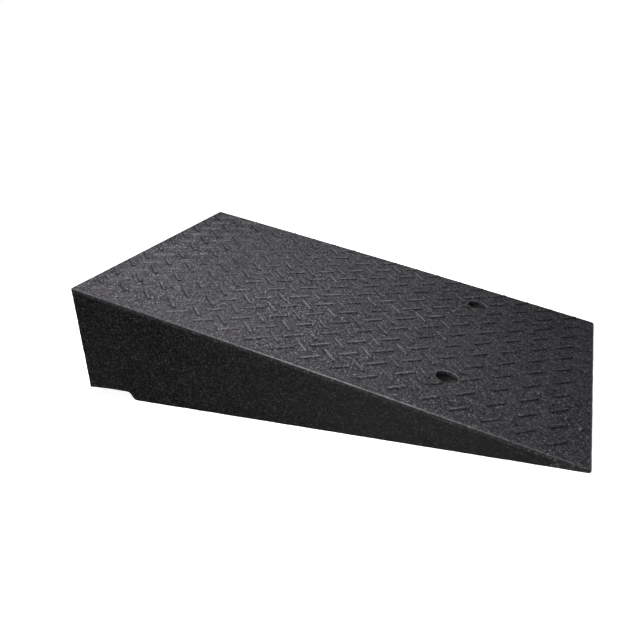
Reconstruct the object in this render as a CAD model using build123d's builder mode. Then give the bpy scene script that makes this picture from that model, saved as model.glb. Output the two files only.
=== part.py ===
"""Moulded rubber kerb ramp: a wedge with a tread skin, bolted down through two recessed holes.

Frame: the origin is the centre of the base rectangle on the ground. +X runs down the slope to the
low edge, +Y runs across the ramp and +Z is up. Millimetres.
"""
from build123d import *
import os
from math import atan2, cos, hypot, tan

# Overall wedge
run = 790.0
width = 500.0
rise = 190.0
lip = 6.0
end_corner_r = 3.5
low_corner_r = 4.0
top_edge_r = 2.5

slope = atan2(rise - lip, run)
slope_length = hypot(run, rise - lip)
x_high = -run / 2
x_low = run / 2

# Tread skin: a dense rubber sheet over the whole deck, down to the ground at the low edge
skin_t = 6.0
toe_length = 50.0
x_toe = x_low - toe_length

# Tread: two sets of raised bars at right angles, the second set half a pitch off the first
pitch_run = 45.4
pitch_cross = 44.8
columns = 17
rows = 11
tread_centre_s = 400.5
tread_centre_y = 8.5
bar_length = 36.0
bar_width = 6.5
bar_height = 2.0
bar_angle = 45.0
bar_margin = top_edge_r + 0.5

# Drain relief under the high end: a slightly arched roof and a rounded step down to the ground
relief_end_h = 12.2
relief_crown_h = 14.4
relief_crown = 48.0
relief_foot_h = 13.0
relief_length = 80.0
relief_step = 9.0
relief_r = 5.0

# Underside pockets: long ones side by side, with ribs between them that run with the slope
wall_t = 30.0
rib_t = 20.0
deck_t = 25.0
pocket_count = 5
pocket_width = (width - 2 * wall_t - (pocket_count - 1) * rib_t) / pocket_count
pocket_start = 100.0
pocket_length = 410.0
pocket_r = 8.0

# Fixing holes: a recess for the bolt head, a washer to seat it and a sleeve to carry the clamp load
bolt_x = 185.0
bolt_spacing = 300.0
bolt_centre_y = 11.0
bolt_hole_d = 14.0
recess_d = 34.0
recess_bar_gap = 1.25
bar_clear_r = 20.4
washer_t = 3.0
washer_z = 33.0
sleeve_d = 20.0
hole_y = {"near": bolt_centre_y - bolt_spacing / 2, "far": bolt_centre_y + bolt_spacing / 2}
up = (Align.CENTER, Align.CENTER, Align.MIN)

# Sketch planes: the side view, drawn at the far side, and the deck, from its high edge
side_view = Plane(origin=(0, width / 2, 0), x_dir=(1, 0, 0), z_dir=(0, -1, 0))
deck_view = Plane(origin=(x_high, 0, rise), x_dir=(run, 0, lip - rise), z_dir=(rise - lip, 0, run))


def slope_point(x, depth):
    """Point in side view at x, on the deck or the given depth square below it."""
    return (x, lip + (x_low - x) * tan(slope) - depth / cos(slope))


def upright_edges(part, x):
    """The vertical corner edges of a part at one end."""
    return part.edges().filter_by(Axis.Z).filter_by(lambda edge: abs(edge.center().X - x) < 0.1)


def bar_centres(column_count, row_count):
    """Centres of one set of bars on the deck, without those that a fixing hole takes away."""
    hole_s = (bolt_x - x_high) / cos(slope)
    centres = []
    for column in range(column_count):
        s = tread_centre_s + (column - (column_count - 1) / 2) * pitch_run
        for row in range(row_count):
            y = tread_centre_y + (row - (row_count - 1) / 2) * pitch_cross
            if all(hypot(s - hole_s, y - centre) > bar_clear_r for centre in hole_y.values()):
                centres.append((s, y))
    return centres


# ---- Granulate body: side profile with the drain relief, hollow underneath
with BuildPart() as ramp_body:
    with BuildSketch(side_view) as body_profile:
        with BuildLine():
            Polyline(
                (x_high, relief_end_h),
                slope_point(x_high, skin_t),
                slope_point(x_toe, skin_t),
                (x_toe, 0),
                (x_high + relief_length + relief_step, 0),
                (x_high + relief_length, relief_foot_h),
            )
            ThreePointArc(
                (x_high + relief_length, relief_foot_h),
                (x_high + relief_crown, relief_crown_h),
                (x_high, relief_end_h),
            )
        make_face()
        step_corners = body_profile.vertices().filter_by(
            lambda corner: abs(corner.X - x_high - relief_length - relief_step / 2) < relief_step
            and corner.Z < relief_crown_h
        )
        fillet(step_corners, relief_r)
    extrude(amount=width)
    fillet(upright_edges(ramp_body, x_high), end_corner_r)

    # the pockets are upright prisms, cut off below the deck by the slope
    with BuildSketch():
        with Locations((x_high + pocket_start + pocket_length / 2, 0)):
            with GridLocations(pocket_length, pocket_width + rib_t, 1, pocket_count):
                RectangleRounded(pocket_length, pocket_width, pocket_r)
    pocket_prisms = extrude(amount=rise, mode=Mode.PRIVATE)
    with BuildSketch(deck_view.offset(-deck_t)):
        Rectangle(2 * run, 2 * width)
    pocket_limit = extrude(amount=2 * rise, mode=Mode.PRIVATE)
    add(pocket_prisms - pocket_limit, mode=Mode.SUBTRACT)

    # fixing holes: recess above the washer's underside, sleeve bore below it
    for y in hole_y.values():
        with Locations((bolt_x, y, washer_z - washer_t)):
            Cylinder(recess_d / 2, rise, align=up, mode=Mode.SUBTRACT)
        with Locations((bolt_x, y, 0)):
            Cylinder(sleeve_d / 2, rise, align=up, mode=Mode.SUBTRACT)
ramp_body.part.label = "ramp_body"

# ---- Raised bars of the tread, kept clear of the deck's edges and of the fixing holes
with BuildPart() as tread_bars:
    with BuildSketch(deck_view):
        with Locations(*bar_centres(columns, rows)):
            SlotOverall(bar_length, bar_width, rotation=bar_angle)
        with Locations(*bar_centres(columns + 1, rows - 1)):
            SlotOverall(bar_length, bar_width, rotation=-bar_angle)
        with Locations((slope_length / 2, 0)):
            Rectangle(slope_length - 2 * bar_margin, width - 2 * bar_margin, mode=Mode.INTERSECT)
    extrude(amount=bar_height)
    with Locations(*[(bolt_x, y, 0) for y in hole_y.values()]):
        Cylinder(recess_d / 2 + recess_bar_gap, 2 * rise, align=up, mode=Mode.SUBTRACT)

# ---- Tread skin: constant thickness over the body, solid toe at the low edge, bars on top
with BuildPart() as tread_skin:
    with BuildSketch(side_view):
        with BuildLine():
            Polyline(
                slope_point(x_high, 0),
                slope_point(x_low, 0),
                (x_low, 0),
                (x_toe, 0),
                slope_point(x_toe, skin_t),
                slope_point(x_high, skin_t),
                close=True,
            )
        make_face()
    extrude(amount=width)
    fillet(upright_edges(tread_skin, x_high), end_corner_r)
    fillet(upright_edges(tread_skin, x_low), low_corner_r)
    deck_face = tread_skin.faces().sort_by(SortBy.AREA)[-1]
    fillet(deck_face.edges(), top_edge_r)
    with Locations(*[(bolt_x, y, 0) for y in hole_y.values()]):
        Cylinder(recess_d / 2, 2 * rise, align=up, mode=Mode.SUBTRACT)
    add(tread_bars.part)
tread_skin.part.label = "tread_skin"

os.makedirs("parts", exist_ok=True)
export_step(ramp_body.part, "parts/ramp_body.step")
export_step(tread_skin.part, "parts/tread_skin.step")

# ---- Steel fittings moulded in at each fixing hole
for side, y in hole_y.items():
    with BuildPart() as bolt_sleeve:
        with Locations((bolt_x, y, 0)):
            Cylinder(sleeve_d / 2, washer_z - washer_t, align=up)
            Cylinder(bolt_hole_d / 2, rise, align=up, mode=Mode.SUBTRACT)
    bolt_sleeve.part.label = f"bolt_sleeve_{side}"
    export_step(bolt_sleeve.part, f"parts/bolt_sleeve_{side}.step")

    with BuildPart() as seat_washer:
        with Locations((bolt_x, y, washer_z - washer_t)):
            Cylinder(recess_d / 2, washer_t, align=up)
            Cylinder(bolt_hole_d / 2, rise, align=up, mode=Mode.SUBTRACT)
    seat_washer.part.label = f"seat_washer_{side}"
    export_step(seat_washer.part, f"parts/seat_washer_{side}.step")
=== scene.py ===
"""Looks of the moulded rubber kerb ramp: crumb rubber body, tread skin with worn raised bars; some colours
hold painted highlights, painted shade and painted light.
"""
import math
import random

import bpy
from mathutils import Matrix, Vector, noise


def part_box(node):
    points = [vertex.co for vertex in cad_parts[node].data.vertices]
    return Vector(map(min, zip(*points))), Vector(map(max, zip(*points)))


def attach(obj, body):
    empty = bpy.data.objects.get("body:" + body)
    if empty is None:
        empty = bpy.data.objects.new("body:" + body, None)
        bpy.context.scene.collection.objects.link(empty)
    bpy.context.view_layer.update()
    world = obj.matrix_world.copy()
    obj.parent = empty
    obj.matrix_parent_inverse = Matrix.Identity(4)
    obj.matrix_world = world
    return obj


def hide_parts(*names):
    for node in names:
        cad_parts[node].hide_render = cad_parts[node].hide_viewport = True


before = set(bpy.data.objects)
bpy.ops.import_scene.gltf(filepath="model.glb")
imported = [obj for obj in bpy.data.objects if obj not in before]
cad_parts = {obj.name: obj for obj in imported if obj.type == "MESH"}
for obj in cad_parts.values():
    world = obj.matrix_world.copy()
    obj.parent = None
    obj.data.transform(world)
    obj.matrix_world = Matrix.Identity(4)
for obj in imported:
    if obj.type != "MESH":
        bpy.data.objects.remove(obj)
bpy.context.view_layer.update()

MM = 0.001
UP = Vector((0, 0, 1))
SHARP = math.radians(50)

# ------------------------------------------------------------------ sizes: from the frame where it has them
skin_low, skin_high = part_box("tread_skin")
X_HIGH, X_LOW, X_TOE = skin_low.x, skin_high.x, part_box("ramp_body")[1].x
HALF_WIDTH = skin_high.y
RISE = 190 * MM
LIP = 6 * MM
SLOPE = math.atan2(RISE - LIP, X_LOW - X_HIGH)
SLOPE_LENGTH = math.hypot(RISE - LIP, X_LOW - X_HIGH)
SKIN_T = 6 * MM
CROWN = 2.2 * MM
END_CORNER_R = 3.5 * MM
LOW_CORNER_R = 4 * MM
TOP_EDGE_R = 2.5 * MM
BASE_EDGE_R = 1.5 * MM
TOE_EDGE_INSET = 0.6 * BASE_EDGE_R
# the upright joint of body and toe: the body's corners there, and how near to it a mesh line comes
JOINT_CORNER_R, JOINT_MARGIN = 0.05 * MM, 0.05 * MM
BODY_GRID, SKIN_GRID = 2.2 * MM, 3.0 * MM
WALL_ROWS = 64

# tread bars: two sets at right angles, the second set half a pitch off the first
PITCH_RUN, PITCH_CROSS = 45.4 * MM, 44.8 * MM
COLUMNS, ROWS = 17, 11
RISING = math.radians(45)
TREAD_CENTRE = (400.5 * MM, 8.5 * MM)
BAR_LENGTH, BAR_WIDTH = 36 * MM, 6.5 * MM
BAR_MARGIN = TOP_EDGE_R + 0.5 * MM
BAR_HOLE_GAP = 1.25 * MM
BAR_STEP_BACK, BAR_MOST_STEPS = 0.2 * MM, 200
# how much one bar differs from the next: its width and height, its crown's polish and painted highlight, and
# the painted shade on its sides
BAR_SWELL, BAR_WEAR, BAR_POLISH_AND_HIGHLIGHT, BAR_SHADE_SHARE = (0.96, 1.05), (0.86, 1.0), (0.3, 0.9), (0.75, 1.0)
BAR_ROUGH, BAR_ROUGH_SIZE = 0.05, 4 * MM

# drain relief under the high end: its arched roof, where its S-shaped step starts and ends, and how many
# times over the step is smoothed
RELIEF_END_H, RELIEF_CROWN_H, RELIEF_CROWN = 12.2 * MM, 14.4 * MM, 48 * MM
RELIEF_STEP_TOP, RELIEF_STEP_FOOT = 71 * MM, 97 * MM
RELIEF_STEP_EASES = 3

# underside pockets, long ones side by side
DECK_T, RIB_T = 25 * MM, 20 * MM
POCKETS, POCKET_WIDTH, POCKET_R = 5, 72 * MM, 8 * MM
POCKET_START, POCKET_LENGTH = 100 * MM, 410 * MM

# fixing holes, from the steel fittings in them
SIDES = ("near", "far")
HOLES = []
for side in SIDES:
    washer_low, washer_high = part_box(f"seat_washer_{side}")
    sleeve_low, sleeve_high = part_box(f"bolt_sleeve_{side}")
    HOLES.append((washer_low + washer_high) / 2)
RECESS_R = (washer_high.x - washer_low.x) / 2
SLEEVE_R = (sleeve_high.x - sleeve_low.x) / 2
RECESS_FLOOR = washer_low.z
RECESS_RIM_R = 1.6 * MM
NO_BAR_R = 1.2 * RECESS_R
CUT_PAST, RIM_CUT_ABOVE = 10 * MM, 8 * MM

# size and depth of the rubber crumbs, of the moulding's slow unevenness, and of the deck's own two
CRUMB = 3.0 * MM
CRUMB_DEPTH = 0.35 * MM
WAVE = 28 * MM
WAVE_DEPTH = 0.45 * MM
DECK_WAVES = ((35 * MM, 0.16 * MM), (9 * MM, 0.09 * MM))
# the wall's crumbs fade out over this length towards the toe, and this part of its height towards the skin
CRUMB_FADE, CRUMB_FADE_PART = 4 * MM, 1 / 12

# where along the slope the raised rubber is most worn and gets the strongest painted highlight, how little of
# both is left elsewhere
# # on the crowns and on the near top edge and how far the edge's peak is shifted, how much of the painted
# shade on the bar sides is
# # taken away there, and how large and how strong a patch of polish and painted highlight is
PEAK_X, PEAK_SPREAD = 0.0, 0.19
CROWN_LEAST_WEAR_AND_HIGHLIGHT, EDGE_LEAST_WEAR_AND_HIGHLIGHT, EDGE_PEAK_SHIFT = 0.2, 0.3, 60 * MM
PEAK_SHADE_CUT = 0.6
PATCH, PATCH_POLISH_AND_HIGHLIGHT, LEAST_POLISH_AND_HIGHLIGHT = 90 * MM, 0.9, 0.1


# ------------------------------------------------------------------ surfaces of the wedge
def deck_z(x):
    """Height of the deck at x, with its slight crown."""
    along = (x - X_HIGH) / (X_LOW - X_HIGH)
    return LIP + (X_LOW - x) * math.tan(SLOPE) + 4 * CROWN * along * (1 - along)


def skin_base_z(x):
    """Height of the skin's underside: a constant thickness, and solid down to the ground at the toe."""
    return deck_z(x) - SKIN_T / math.cos(SLOPE) if x < X_TOE else 0.0


def base_z(x):
    """Height of the body's base: on the ground, with an S-shaped step up to the drain relief's roof."""
    reach = x - X_HIGH
    t = min(1.0, max(0.0, (RELIEF_STEP_FOOT - reach) / (RELIEF_STEP_FOOT - RELIEF_STEP_TOP)))
    roof = RELIEF_CROWN_H - (RELIEF_CROWN_H - RELIEF_END_H) * (reach / RELIEF_CROWN - 1) ** 2
    for _ in range(RELIEF_STEP_EASES):
        t *= t * (3 - 2 * t)
    return roof * t


def wave(point):
    """Slow unevenness of the moulded faces."""
    return WAVE_DEPTH * noise.noise(point / WAVE)


def crumb_relief(point):
    """Relief of the rubber crumbs: rounded grains with crevices between them."""
    near, next_near = noise.voronoi(point / CRUMB)[0][:2]
    return CRUMB_DEPTH * (min(1.0, 2.4 * (next_near - near)) - 0.7 + 0.5 * noise.cell(point / CRUMB / 1.7))


def deck_relief(x, y):
    """Unevenness of the tread skin between its bars."""
    point = Vector((x, y, 0))
    return sum(depth * noise.noise(point / size) for size, depth in DECK_WAVES)


def peak_along_slope(x):
    """A bell along the slope: 1 at its peak near the middle, less towards its ends; wear and painted
    highlights are strongest there, and painted shade on the bar sides weakest.
    """
    return math.exp(-((x - PEAK_X) / PEAK_SPREAD) ** 2)


def wear_and_highlight_along(x, least):
    """Wear and painted highlight of raised rubber at x: full at the peak, and only the least amount far from
    it.
    """
    return least + (1 - least) * peak_along_slope(x)


def on_deck(s, y, height):
    """Point on the deck at s down the slope and y across it, raised square to the slope."""
    x = X_HIGH + s * math.cos(SLOPE)
    surface = Vector((x, y, deck_z(x) + deck_relief(x, y)))
    return surface + height * Vector((math.sin(SLOPE), 0, math.cos(SLOPE)))


# ------------------------------------------------------------------ mesh helpers
def spaced(start, end, step):
    """Evenly spaced values from start to end, no more than about a step apart."""
    count = max(1, round(abs(end - start) / step))
    return [start + (end - start) * i / count for i in range(count + 1)]


def add_piece(name, points, faces, smooth=True):
    mesh = bpy.data.meshes.new(name)
    mesh.from_pydata([tuple(p) for p in points], [], faces)
    mesh.validate()
    mesh.polygons.foreach_set("use_smooth", [smooth] * len(mesh.polygons))
    mesh.set_sharp_from_angle(angle=SHARP)
    piece = bpy.data.objects.new(name, mesh)
    bpy.context.scene.collection.objects.link(piece)
    return piece


def set_value(piece, name, values):
    """A number at each point for the material: how much wear and painted highlight a crest gets, or how much
    it is part of the wall or carries painted shade as a bar's side.
    """
    layer = piece.data.attributes.new(name, "FLOAT", "POINT")
    layer.data.foreach_set("value", values)


def cut(piece, cutters):
    """Takes the cutters away from a piece, and deletes them."""
    for cutter in cutters:
        boolean = piece.modifiers.new("cut", "BOOLEAN")
        boolean.operation = "DIFFERENCE"
        boolean.solver = "MANIFOLD"
        boolean.object = cutter
    bpy.context.view_layer.update()
    mesh = bpy.data.meshes.new_from_object(piece.evaluated_get(bpy.context.evaluated_depsgraph_get()))
    piece.modifiers.clear()
    plain = piece.data
    piece.data = mesh
    mesh.name = piece.name
    mesh.set_sharp_from_angle(angle=SHARP)
    bpy.data.meshes.remove(plain)
    for cutter in cutters:
        bpy.data.meshes.remove(cutter.data)


class Plan:
    """A rounded rectangle seen from above, as a grid whose edge follows the rounded corners.

    ring holds the grid's edge nodes, counter-clockwise, each as (column, row, point, outward normal).
    """

    CORNER_STEPS = 4

    def __init__(self, x0, x1, half, r0, r1, step, extra=()):
        self.xs = sorted({*self.lines(x0, x1, r0, r1, step), *extra})
        self.ys = self.lines(-half, half, r0, r0, step)
        self.limits = (x0, x1, half, r0, r1)
        nx, ny = len(self.xs) - 1, len(self.ys) - 1
        edge = [(i, 0) for i in range(nx)] + [(nx, j) for j in range(ny)]
        edge += [(i, ny) for i in range(nx, 0, -1)] + [(0, j) for j in range(ny, 0, -1)]
        self.ring = [(i, j) + self.edge_node(i, j) for i, j in edge]

    def lines(self, low, high, r_low, r_high, step):
        steps = self.CORNER_STEPS
        start = [low + r_low * m / steps for m in range(steps)]
        end = [high - r_high * m / steps for m in reversed(range(steps))]
        return start + spaced(low + r_low, high - r_high, step) + end

    def edge_node(self, i, j):
        """Place and outward normal of an edge node, on a corner's arc or on a straight side."""
        x0, x1, half, r0, r1 = self.limits
        steps = self.CORNER_STEPS
        nx, ny = len(self.xs) - 1, len(self.ys) - 1
        from_x, from_y = min(i, nx - i), min(j, ny - j)
        x_sign = -1 if i < nx / 2 else 1
        y_sign = -1 if j < ny / 2 else 1
        radius = r0 if x_sign < 0 else r1
        if from_x < steps and from_y < steps:
            swing = math.radians(45) * (1 - max(from_x, from_y) / steps)
            out_x, out_y = math.sin(swing), math.cos(swing)
            if from_x == 0 and from_y > 0:
                out_x, out_y = out_y, out_x
            corner_x = x0 if x_sign < 0 else x1
            centre = Vector((corner_x - x_sign * radius, y_sign * (half - radius), 0))
            normal = Vector((x_sign * out_x, y_sign * out_y, 0))
            return centre + radius * normal, normal
        if from_x == 0:
            y = self.ys[j] if from_y > steps else y_sign * (half - radius)
            return Vector((self.xs[i], y, 0)), Vector((x_sign, 0, 0))
        return Vector((self.xs[i], y_sign * half, 0)), Vector((0, y_sign, 0))

    def walls(self, first, rows):
        """Quads between stacked copies of the ring, from the lowest up; first is the first point's index."""
        n = len(self.ring)
        faces = []
        for row in range(rows - 1):
            low, high = first + row * n, first + (row + 1) * n
            for k in range(n):
                after = (k + 1) % n
                faces.append((low + k, low + after, high + after, high + k))
        return faces

    def cap(self, first, facing_up):
        """Strips across one ring, from its near side to its far side, with the two ends closed."""
        n, nx, ny = len(self.ring), len(self.xs) - 1, len(self.ys) - 1
        near = [first + i for i in range(nx + 1)]
        far = [first + (nx + ny + nx - i) % n for i in range(nx + 1)]
        low_end = [first + nx + j for j in range(1, ny)]
        high_end = [first + (2 * nx + ny + j) % n for j in range(1, ny)]
        faces = [(near[i], near[i + 1], far[i + 1], far[i]) for i in range(1, nx - 1)]
        faces.append((near[nx - 1], near[nx], *low_end, far[nx], far[nx - 1]))
        faces.append((far[1], far[0], *high_end, near[0], near[1]))
        return faces if facing_up else [face[::-1] for face in faces]


def column(name, outline, levels):
    """A closed solid from copies of an outline: one list of points for each level, from the lowest up."""
    n = len(outline)
    points = [p for level in levels for p in level]
    faces = [tuple(range(n))[::-1], tuple(range(len(points) - n, len(points)))]
    for row in range(len(levels) - 1):
        for k in range(n):
            low, after = row * n + k, row * n + (k + 1) % n
            faces.append((low, after, after + n, low + n))
    return add_piece(name, points, faces)


def circle(centre, radius, count=64):
    turns = [2 * math.pi * k / count for k in range(count)]
    return [Vector((centre.x + radius * math.cos(a), centre.y + radius * math.sin(a), 0)) for a in turns]


# ------------------------------------------------------------------ granulate body
def pocket_cutter(index):
    """One underside pocket: a rounded rectangle in plan, its roof level with the slope."""
    x0, x1 = X_HIGH + POCKET_START, X_HIGH + POCKET_START + POCKET_LENGTH
    centre_y = (index - (POCKETS - 1) / 2) * (POCKET_WIDTH + RIB_T)
    outline = []
    for end_x, side, start in ((x1 - POCKET_R, 1, 0), (x0 + POCKET_R, 1, 90),
                               (x0 + POCKET_R, -1, 180), (x1 - POCKET_R, -1, 270)):
        centre = Vector((end_x, centre_y + side * (POCKET_WIDTH / 2 - POCKET_R), 0))
        for step in range(7):
            angle = math.radians(start + 15 * step)
            outline.append(centre + POCKET_R * Vector((math.cos(angle), math.sin(angle), 0)))
    roof = [Vector((p.x, p.y, deck_z(p.x) - DECK_T / math.cos(SLOPE))) for p in outline]
    return column("pocket_cutter", outline, [[p - CUT_PAST * UP for p in outline], roof])


def make_body():
    plan = Plan(X_HIGH, X_TOE, HALF_WIDTH, END_CORNER_R, JOINT_CORNER_R, BODY_GRID)
    levels = []
    for angle in (0, 30, 60):
        swing = math.radians(angle)
        levels.append((BASE_EDGE_R * (math.sin(swing) - 1), BASE_EDGE_R * (1 - math.cos(swing)), 0.0))
    levels += [(0.0, BASE_EDGE_R, row / WALL_ROWS) for row in range(WALL_ROWS + 1)]

    points = []
    for inset, lift, rise_part in levels:
        for _, _, place, normal in plan.ring:
            x, y = (place + inset * normal).xy
            bottom, top = base_z(x) + lift, skin_base_z(min(x, X_TOE - 2 * JOINT_MARGIN))
            point = Vector((x, y, bottom + (top - bottom) * rise_part))
            to_joint = min(1.0, (1 - rise_part) / CRUMB_FADE_PART, (X_TOE - x) / CRUMB_FADE)
            points.append(point + normal * (wave(point) + crumb_relief(point) * max(0.0, to_joint)))
    faces = plan.walls(0, len(levels))
    faces += plan.cap(0, False) + plan.cap((len(levels) - 1) * len(plan.ring), True)
    body = add_piece("ramp_shell", points, faces)

    cutters = [pocket_cutter(i) for i in range(POCKETS)]
    for hole in HOLES:
        for radius, start in ((RECESS_R, RECESS_FLOOR), (SLEEVE_R, -CUT_PAST)):
            ring = circle(hole, radius)
            cutter = column("hole_cutter", ring, [[p + z * UP for p in ring] for z in (start, RISE)])
            # recess walls are painted paler: dust, and painted light that stands in for light reaching into
            # the recess
            set_value(cutter, "dust_and_painted_light", [1.0] * len(cutter.data.vertices))
            cutters.append(cutter)
    set_value(body, "dust_and_painted_light", [0.0] * len(body.data.vertices))
    cut(body, cutters)
    return body


# ------------------------------------------------------------------ tread skin
# a recess's rim from its wall out to the deck: angle round it, how much wear and painted highlight it gets
# and how much it is a side
RIM_PROFILE = (
    (0, 0.0, 0.3), (20, 0.2, 0.2), (40, 0.45, 0.0), (60, 0.45, 0.0), (78, 0.25, 0.0), (90, 0.0, 0.0),
)


def rim_cutter(hole):
    """A recess that flares out at the deck in a small rounded rim, leaning with the slope."""
    levels = [[p - CUT_PAST * UP + RECESS_FLOOR * UP for p in circle(hole, RECESS_R)]]
    for angle, _, _ in RIM_PROFILE:
        swing = math.radians(angle)
        ring = circle(hole, RECESS_R + RECESS_RIM_R * (1 - math.cos(swing)))
        drop = RECESS_RIM_R * (1 - math.sin(swing))
        levels.append([Vector((p.x, p.y, deck_z(p.x) - drop)) for p in ring])
    levels.append([p + RIM_CUT_ABOVE * UP for p in levels[-1]])
    cutter = column("rim_cutter", levels[0], levels)
    marks = (RIM_PROFILE[0], *RIM_PROFILE, RIM_PROFILE[-1])
    # the rim is painted pale: a painted highlight, with wear that makes it smoother
    set_value(cutter, "crest", [wear_and_highlight for _, wear_and_highlight, _ in marks for _ in levels[0]])
    set_value(cutter, "flank", [side_part for _, _, side_part in marks for _ in levels[0]])
    return cutter


def make_skin():
    r = TOP_EDGE_R
    toe_lines = (X_TOE - JOINT_MARGIN, X_TOE + JOINT_MARGIN)
    corners = (END_CORNER_R - r, LOW_CORNER_R - r)
    plan = Plan(X_HIGH + r, X_LOW - r, HALF_WIDTH - r, *corners, SKIN_GRID, toe_lines)
    nx, ny = len(plan.xs) - 1, len(plan.ys) - 1

    # edge rows from the ground or the joint up to the deck, then the deck's own grid
    band = (0.0, 0.33, 0.67)
    fillet = [math.radians(a) for a in (90, 75, 60, 45, 30, 15, 0)]
    points, crest, flank = [], [], []
    for part in band:
        for _, _, place, normal in plan.ring:
            x, y = (place + r * normal).xy
            low, high = skin_base_z(x), deck_z(x) - r
            lift, inset = (high - low) * part, 0.0
            if x > X_TOE and part < 0.5:
                lift = min(BASE_EDGE_R, lift)
                inset = TOE_EDGE_INSET if part == 0.0 else 0.0
            point = Vector((x, y, low + lift)) - inset * normal
            points.append(point + wave(point) * normal)
            crest.append(0.0)
            flank.append(1.0)
    for swing in fillet:
        for _, _, place, normal in plan.ring:
            x, y = (place + r * math.sin(swing) * normal).xy
            relief = deck_relief(x, y) * math.cos(swing)
            point = Vector((x, y, deck_z(x) - r * (1 - math.cos(swing)) + relief))
            points.append(point + wave(point) * math.sin(swing) * normal)
            # the near top edge's fillet is painted pale in a band peaking near the middle: a painted
            # highlight, with wear that makes it smoother
            wear_and_highlight = wear_and_highlight_along(x - EDGE_PEAK_SHIFT, EDGE_LEAST_WEAR_AND_HIGHLIGHT)
            crest.append(max(0.0, math.sin(2 * swing)) * wear_and_highlight)
            flank.append(max(0.0, 2 * math.sin(swing) - 1))
    rows = len(band) + len(fillet)
    faces = plan.walls(0, rows) + plan.cap(0, False)

    edge = (rows - 1) * len(plan.ring)
    index = {(i, j): edge + k for k, (i, j, _, _) in enumerate(plan.ring)}
    for i in range(1, nx):
        for j in range(1, ny):
            x, y = plan.xs[i], plan.ys[j]
            index[i, j] = len(points)
            points.append(Vector((x, y, deck_z(x) + deck_relief(x, y))))
            crest.append(0.0)
            flank.append(0.0)
    for i in range(nx):
        for j in range(ny):
            faces.append((index[i, j], index[i + 1, j], index[i + 1, j + 1], index[i, j + 1]))

    skin = add_piece("deck_skin", points, faces)
    set_value(skin, "crest", crest)
    set_value(skin, "flank", flank)
    cut(skin, [rim_cutter(hole) for hole in HOLES])
    return skin


# a bar's profile from its flared foot to its crown: distance from its centre line and height in mm, how much
# wear and
# # painted highlight it gets, and how much it is a side, which takes the bar's painted shade
BAR_PROFILE = (
    (4.6, -0.35, 0.0, 0.6), (4.25, 0.05, 0.0, 0.8), (3.5, 0.17, 0.0, 1.0),
    (3.3, 0.5, 0.0, 1.0), (3.15, 1.2, 0.0, 1.0), (2.95, 1.6, 0.1, 0.8),
    (2.55, 1.84, 0.1, 0.25), (1.1, 1.96, 0.0, 0.0), (0.45, 2.0, 0.75, 0.0),
)


def bar_ends(s, y, turn):
    """Both ends of a bar's centre line, drawn back from the deck's edges and from the recesses' rims."""
    reach = (BAR_LENGTH - BAR_WIDTH) / 2
    direction = Vector((math.cos(turn), math.sin(turn)))
    keep_off = BAR_MARGIN + BAR_WIDTH / 2
    hole_reach = RECESS_R + RECESS_RIM_R + BAR_HOLE_GAP + BAR_WIDTH / 2
    ends = []
    for sign in (-1, 1):
        end = Vector((s, y)) + sign * reach * direction
        for _ in range(BAR_MOST_STEPS):
            at = on_deck(end.x, end.y, 0)
            clear = all((at.xy - hole.xy).length > hole_reach for hole in HOLES)
            if clear and keep_off < end.x < SLOPE_LENGTH - keep_off and abs(end.y) < HALF_WIDTH - keep_off:
                break
            end -= sign * BAR_STEP_BACK * direction
        ends.append(end)
    return ends


def add_bar(points, faces, crest, flank, ends, painted_side_shade, rng):
    """One raised bar: rings of a pill shape that rise from a flared foot to a rounded crown."""
    start, end = ends
    along = (end - start).normalized()
    across = Vector((-along.y, along.x))
    swell, wear = rng.uniform(*BAR_SWELL), rng.uniform(*BAR_WEAR)
    patch = noise.noise(Vector((start.x, start.y, 0)) / PATCH)
    polish_and_highlight, shade_share = rng.uniform(*BAR_POLISH_AND_HIGHLIGHT) + PATCH_POLISH_AND_HIGHLIGHT * patch, rng.uniform(*BAR_SHADE_SHARE)
    arc_steps, side_steps = 8, 5
    ring = []
    for centre, heading in ((end, -90), (start, 90)):
        for k in range(arc_steps + 1):
            angle = math.radians(heading + 180 * k / arc_steps)
            ring.append((centre, math.cos(angle) * along + math.sin(angle) * across))
        other = start if centre is end else end
        side = ring[-1][1]
        for k in range(1, side_steps):
            ring.append((centre + (other - centre) * k / side_steps, side))
    n, first = len(ring), len(points)
    for distance, height, wear_and_highlight, side_part in BAR_PROFILE:
        for centre, out in ring:
            place = centre + out * distance * swell * MM
            rough = 1 + BAR_ROUGH * noise.noise(Vector((place.x, place.y, height)) / BAR_ROUGH_SIZE)
            points.append(on_deck(place.x, place.y, height * MM * (wear if height > 0 else 1) * rough))
            # a bar's crown is painted pale in patches: a painted highlight, with polish that makes it
            # smoother
            bright = wear_and_highlight * max(LEAST_POLISH_AND_HIGHLIGHT, polish_and_highlight) * wear_and_highlight_along(points[-1].x, CROWN_LEAST_WEAR_AND_HIGHLIGHT)
            # a bar's sides: below zero a pale painted highlight, above zero painted shade
            crest.append(max(bright, side_part * -painted_side_shade))
            flank.append(side_part * max(0.0, painted_side_shade) * shade_share)
    for row in range(len(BAR_PROFILE) - 1):
        for k in range(n):
            low, after = first + row * n + k, first + row * n + (k + 1) % n
            faces.append((low, after, after + n, low + n))
    faces.append(tuple(range(first, first + n))[::-1])
    top = first + (len(BAR_PROFILE) - 1) * n
    tip = arc_steps // 2
    for k in range(n // 2):
        quad = ((tip + k) % n, (tip + k + 1) % n, (tip - k - 1) % n, (tip - k) % n)
        faces.append(tuple(top + p for p in dict.fromkeys(quad)))


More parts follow.
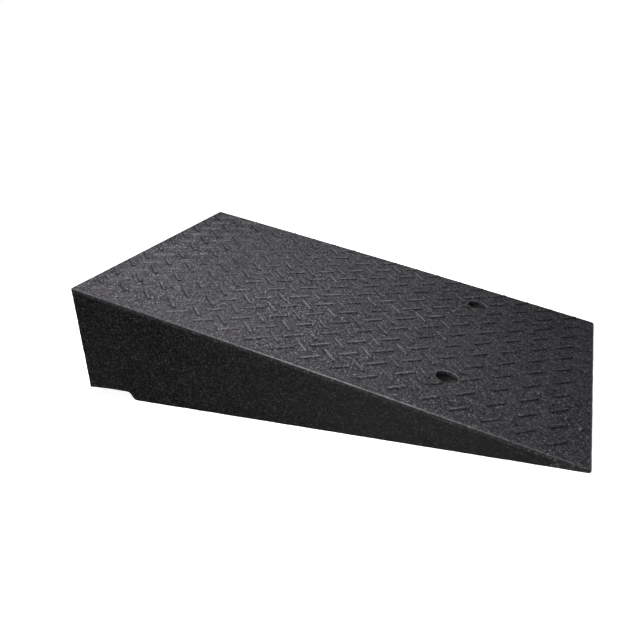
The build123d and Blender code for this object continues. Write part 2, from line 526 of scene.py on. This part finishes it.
def make_bars(name, turn, columns, rows, painted_side_shade, rng):
    """One set of parallel bars, without those that a fixing hole takes away.

    The fifth argument gives the painted shade on the bars' sides at the high end and at the low end, with
    part of it taken away near the middle of the slope; below zero the sides get a pale painted highlight
    instead.
    """
    points, faces, crest, flank = [], [], [], []
    for column_index in range(columns):
        s = TREAD_CENTRE[0] + (column_index - (columns - 1) / 2) * PITCH_RUN
        for row in range(rows):
            y = TREAD_CENTRE[1] + (row - (rows - 1) / 2) * PITCH_CROSS
            at = on_deck(s, y, 0).xy
            if all((at - hole.xy).length > NO_BAR_R for hole in HOLES):
                # painted shade on the bar sides, changing along the slope and weaker near its middle
                mark_amount = painted_side_shade[0] + (painted_side_shade[1] - painted_side_shade[0]) * s / SLOPE_LENGTH
                side_shade_here = mark_amount * (1 - PEAK_SHADE_CUT * peak_along_slope(at.x))
                add_bar(points, faces, crest, flank, bar_ends(s, y, turn), side_shade_here, rng)
    bars = add_piece(name, points, faces)
    set_value(bars, "crest", crest)
    set_value(bars, "flank", flank)
    return bars


# ------------------------------------------------------------------ materials
GRAIN = 2.0 * MM


class Shader:
    """A procedural material with one Principled shader, and short calls to add nodes to it."""

    def __init__(self, name, **values):
        self.material = bpy.data.materials.new(name)
        self.material.use_nodes = True
        self.tree = self.material.node_tree
        self.surface = self.tree.nodes["Principled BSDF"]
        self.place = self.node("ShaderNodeTexCoord").outputs["Object"]
        for socket, value in values.items():
            self.surface.inputs[socket.replace("_", " ")].default_value = value

    def node(self, kind, links=(), **settings):
        made = self.tree.nodes.new(kind)
        for key, value in settings.items():
            setattr(made, key, value)
        for socket, source in dict(links).items():
            if isinstance(source, bpy.types.NodeSocket):
                self.tree.links.new(source, made.inputs[socket])
            else:
                made.inputs[socket].default_value = source
        return made

    def noise(self, size, detail=3.0, roughness=0.5):
        """Soft noise whose features are about size metres across."""
        links = {"Vector": self.place, "Scale": 1 / size, "Detail": detail, "Roughness": roughness}
        return self.node("ShaderNodeTexNoise", links).outputs["Fac"]

    def cells(self, size, feature="F1"):
        links = {"Vector": self.place, "Scale": 1 / size}
        return self.node("ShaderNodeTexVoronoi", links, feature=feature)

    def span(self, source, low, high, to_low=0.0, to_high=1.0, smooth=False):
        """Maps low..high of a value to to_low..to_high, and clamps it."""
        links = {"Value": source, "From Min": low, "From Max": high, "To Min": to_low, "To Max": to_high}
        kind = "SMOOTHSTEP" if smooth else "LINEAR"
        return self.node("ShaderNodeMapRange", links, interpolation_type=kind).outputs["Result"]

    def maths(self, operation, a, b):
        return self.node("ShaderNodeMath", {0: a, 1: b}, operation=operation).outputs[0]

    def blend(self, factor, a, b):
        """Colour a where factor is 0 and b where it is 1."""
        made = self.node("ShaderNodeMix", data_type="RGBA")
        for socket, source in ((0, factor), (6, a), (7, b)):
            if isinstance(source, bpy.types.NodeSocket):
                self.tree.links.new(source, made.inputs[socket])
            else:
                made.inputs[socket].default_value = (*source, 1.0)
        return made.outputs[2]

    def bump(self, height, strength, distance, under=None):
        links = {"Height": height, "Strength": strength, "Distance": distance}
        if under is not None:
            links["Normal"] = under
        return self.node("ShaderNodeBump", links).outputs["Normal"]

    def feed(self, socket, source):
        self.tree.links.new(source, self.surface.inputs[socket])


def crumbs(shader, size, dark, light, power):
    """Rubber crumbs: a tone for each grain, dark crevices between them, and each grain's random numbers."""
    grain = shader.cells(size)
    tone = shader.node("ShaderNodeSeparateColor", {0: grain.outputs["Color"]})
    edge = shader.cells(size, "DISTANCE_TO_EDGE").outputs["Distance"]
    crevice = shader.span(edge, 0.0, 0.22, smooth=True)
    grains = shader.blend(shader.maths("POWER", tone.outputs[0], power), dark, light)
    shade = tuple(0.4 * part for part in dark)
    colour = shader.blend(shader.span(crevice, 0.0, 1.0, 0.6, 0.0), grains, shade)
    return colour, crevice, tone.outputs[1], tone.outputs[2]


def granulate_rubber():
    """Coarse rubber crumb: near-black grains of different tones with dark crevices and a few glossy faces."""
    shader = Shader("granulate_rubber", Specular_IOR_Level=0.05)
    dark, light, recess_dust_and_light = (0.0008, 0.0008, 0.0008), (0.044, 0.044, 0.044), (0.22, 0.215, 0.215)
    colour, crevice, gloss, lift = crumbs(shader, GRAIN, dark, light, 5.5)
    along = shader.node("ShaderNodeSeparateXYZ", {0: shader.place}).outputs["X"]
    # painted light: the wall is blended paler towards the low end, as if more light fell on it there; the
    # noise below adds dust
    low_end = shader.span(along, 0.6 * X_HIGH, 0.3 * X_LOW, 0.0, 0.45)
    dust_and_painted_light = shader.maths("ADD", low_end, shader.span(shader.noise(50 * MM), 0.45, 0.75, 0.0, 0.1))
    walls = shader.blend(dust_and_painted_light, colour, (0.020, 0.020, 0.020))
    # recess walls blended to a pale colour: dust, and painted light
    mark_amount = shader.node("ShaderNodeAttribute", attribute_name="dust_and_painted_light").outputs["Fac"]
    shader.feed("Base Color", shader.blend(shader.maths("MULTIPLY", mark_amount, 0.75), walls, recess_dust_and_light))
    shader.feed("Roughness", shader.span(gloss, 0.0, 1.0, 0.34, 0.9))
    fine = shader.bump(shader.noise(0.7 * MM, 4.0), 0.5, 0.25 * MM)
    height = shader.maths("ADD", shader.maths("MULTIPLY", lift, 1.2), crevice)
    shader.feed("Normal", shader.bump(height, 1.0, 0.9 * MM, fine))
    return shader.material


def tread_rubber():
    """Dense moulded rubber: fine crumb with a faint bloom, light specks, smoother worn crests painted pale as
    a highlight, and dark crumb-toned sides, which on the bars are painted shade.
    """
    shader = Shader("tread_rubber", Specular_IOR_Level=0.18)
    dark, light = (0.004, 0.0038, 0.0045), (0.118, 0.111, 0.129)
    colour, crevice, pick, lift = crumbs(shader, GRAIN, dark, light, 2.6)
    speck = shader.maths(
        "MULTIPLY",
        shader.maths("GREATER_THAN", pick, 0.984),
        shader.span(shader.cells(GRAIN).outputs["Distance"], 0.3, 0.5, 1.0, 0.0),
    )
    # sparse pale specks on single grains
    specked = shader.blend(speck, colour, (0.38, 0.37, 0.37))
    bloom = shader.span(shader.noise(0.11, 3.0), 0.4, 0.7, 0.0, 0.3)
    bloomed = shader.blend(bloom, specked, (0.034, 0.032, 0.037))
    crest = shader.node("ShaderNodeAttribute", attribute_name="crest").outputs["Fac"]
    wear_and_highlight = shader.maths("MULTIPLY", crest, shader.span(shader.noise(5 * MM, 3.0), 0.35, 0.65, 0.4, 1.0))
    # crests and scuffed sides blended pale: a painted highlight, partly wear; the same mask also lowers the
    # roughness
    paler = shader.blend(shader.maths("MULTIPLY", wear_and_highlight, 0.75), bloomed, (0.27, 0.265, 0.268))
    flank = shader.node("ShaderNodeAttribute", attribute_name="flank").outputs["Fac"]
    side_low_tone, gritty = (0.0015, 0.0015, 0.0015), (0.042, 0.042, 0.042)
    # dark crumb tone for sides: on the skin's edge band the wall's own tone, on the bar sides painted shade
    sides = shader.blend(shader.maths("POWER", lift, 4.5), side_low_tone, gritty)
    shader.feed("Base Color", shader.blend(flank, paler, sides))
    rough = shader.span(shader.noise(9 * MM, 3.0), 0.3, 0.7, 0.66, 0.85)
    shader.feed("Roughness", shader.maths("SUBTRACT", rough, shader.maths("MULTIPLY", wear_and_highlight, 0.3)))
    fine = shader.bump(shader.noise(0.8 * MM, 3.0), 0.4, 0.2 * MM)
    height = shader.maths("ADD", shader.maths("MULTIPLY", lift, 0.9), crevice)
    shader.feed("Normal", shader.bump(height, 0.85, 0.45 * MM, fine))
    return shader.material


def zinc_steel():
    """Dull zinc plate, with blotches and a little rust."""
    shader = Shader("zinc_steel", Metallic=0.9)
    blotch = shader.span(shader.noise(6 * MM, 4.0), 0.35, 0.65)
    rust = shader.span(shader.noise(4 * MM, 5.0, 0.7), 0.58, 0.72)
    plate = shader.blend(blotch, (0.36, 0.36, 0.355), (0.5, 0.5, 0.49))
    shader.feed("Base Color", shader.blend(rust, plate, (0.10, 0.055, 0.03)))
    shader.feed("Roughness", shader.span(shader.noise(2 * MM, 4.0), 0.3, 0.7, 0.38, 0.7))
    shader.feed("Normal", shader.bump(shader.noise(0.6 * MM, 3.0), 0.25, 0.1 * MM))
    return shader.material


def studio_floor():
    shader = Shader("studio_floor", Roughness=0.9, Emission_Color=(1, 1, 1, 1), Emission_Strength=0.92)
    paper = shader.span(shader.noise(0.4, 3.0), 0.3, 0.7)
    shader.feed("Base Color", shader.blend(paper, (0.84, 0.84, 0.84), (0.87, 0.87, 0.87)))
    return shader.material


# ------------------------------------------------------------------ camera, floor and light
# soft lamps: name, place, what they face, side in metres and power in watts
SOFTBOXES = (
    ("above_near_edge", (-0.15, -0.25, 0.8), (-0.15, -0.2, 0), 0.3, 8.9),
    ("above_high_end", (-0.35, -0.03, 0.7), (-0.3, 0, 0.1), 0.3, 4.0),
    ("above_low_end", (0.3, -0.33, 0.5), (0.17, -0.1, 0.03), 0.25, 0.8),
    ("behind", (-0.1, 0.9, 0.6), (-0.05, 0, 0.1), 0.4, 2.8),
    ("front", (0.3, -0.8, 0.13), (0.2, -0.25, 0.03), 0.1, 1.8),
)
FLOOR_REACH = 30.0


def place_camera():
    """Looks along the slope's near side from above: the azimuth, elevation and roll of the view."""
    azimuth, elevation, roll = (math.radians(angle) for angle in (21.665, 22.889, -2.941))
    distance, aim = 1.1963, Vector((-0.0601, -0.0284, 0.0784))
    level_back = Vector((math.sin(azimuth), -math.cos(azimuth), 0))
    back = math.cos(elevation) * level_back + math.sin(elevation) * UP
    right = UP.cross(back).normalized()
    level = Matrix((right, back.cross(right), back)).transposed()
    data = bpy.data.cameras.new("camera")
    data.sensor_width, data.lens, data.clip_end = 36, 38.27, 100
    camera = bpy.data.objects.new("camera", data)
    turned = Matrix.Rotation(roll, 3, back) @ level
    camera.matrix_world = Matrix.Translation(aim + distance * back) @ turned.to_4x4()
    bpy.context.scene.collection.objects.link(camera)
    bpy.context.scene.camera = camera


def add_softbox(name, place, aim, size, power):
    data = bpy.data.lights.new(name, "AREA")
    data.shape, data.size, data.energy = "SQUARE", size, power
    lamp = bpy.data.objects.new(name, data)
    lamp.location = place
    lamp.rotation_euler = (Vector(place) - Vector(aim)).to_track_quat("Z", "Y").to_euler()
    bpy.context.scene.collection.objects.link(lamp)


def light_scene():
    world = bpy.data.worlds.new("studio")
    bpy.context.scene.world = world
    world.use_nodes = True
    tree = world.node_tree
    background = tree.nodes["Background"]
    seen = tree.nodes.new("ShaderNodeLightPath").outputs["Is Camera Ray"]
    strength = tree.nodes.new("ShaderNodeMapRange")
    strength.inputs["To Min"].default_value, strength.inputs["To Max"].default_value = 0.1, 1.0
    tree.links.new(seen, strength.inputs["Value"])
    tree.links.new(strength.outputs["Result"], background.inputs["Strength"])
    background.inputs["Color"].default_value = (1, 1, 1, 1)
    for softbox in SOFTBOXES:
        add_softbox(*softbox)
    bpy.context.scene.view_settings.view_transform = "Standard"


def lay_floor():
    signs = ((-1, -1), (1, -1), (1, 1), (-1, 1))
    corners = [(x_sign * FLOOR_REACH, y_sign * FLOOR_REACH, 0) for x_sign, y_sign in signs]
    floor = add_piece("studio_floor", corners, [(0, 1, 2, 3)])
    floor.data.materials.append(studio_floor())


# ------------------------------------------------------------------ the scene
place_camera()
light_scene()
lay_floor()

rng = random.Random(11)
crumb, tread, steel = granulate_rubber(), tread_rubber(), zinc_steel()
skin_look = (tread, "tread_rubber", "tread_skin")
pieces = (
    (make_body(), crumb, "granulate_rubber", "ramp_body"),
    (make_skin(), *skin_look),
    # each set's sides get painted shade that changes along the slope; the rising set's sides get a pale
    # painted highlight at the high end instead
    (make_bars("rising_bars", RISING, COLUMNS, ROWS, (-0.5, 1.0), rng), *skin_look),
    (make_bars("falling_bars", -RISING, COLUMNS + 1, ROWS - 1, (1.15, 0.2), rng), *skin_look),
)
for piece, material, slot, node in pieces:
    piece.data.materials.clear()
    piece.data.materials.append(material)
    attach(piece, "root")
    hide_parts(node)
for side in SIDES:
    for node in (f"bolt_sleeve_{side}", f"seat_washer_{side}"):
        fitting = bpy.data.objects[node]
        fitting.data.materials.clear()
        fitting.data.materials.append(steel)
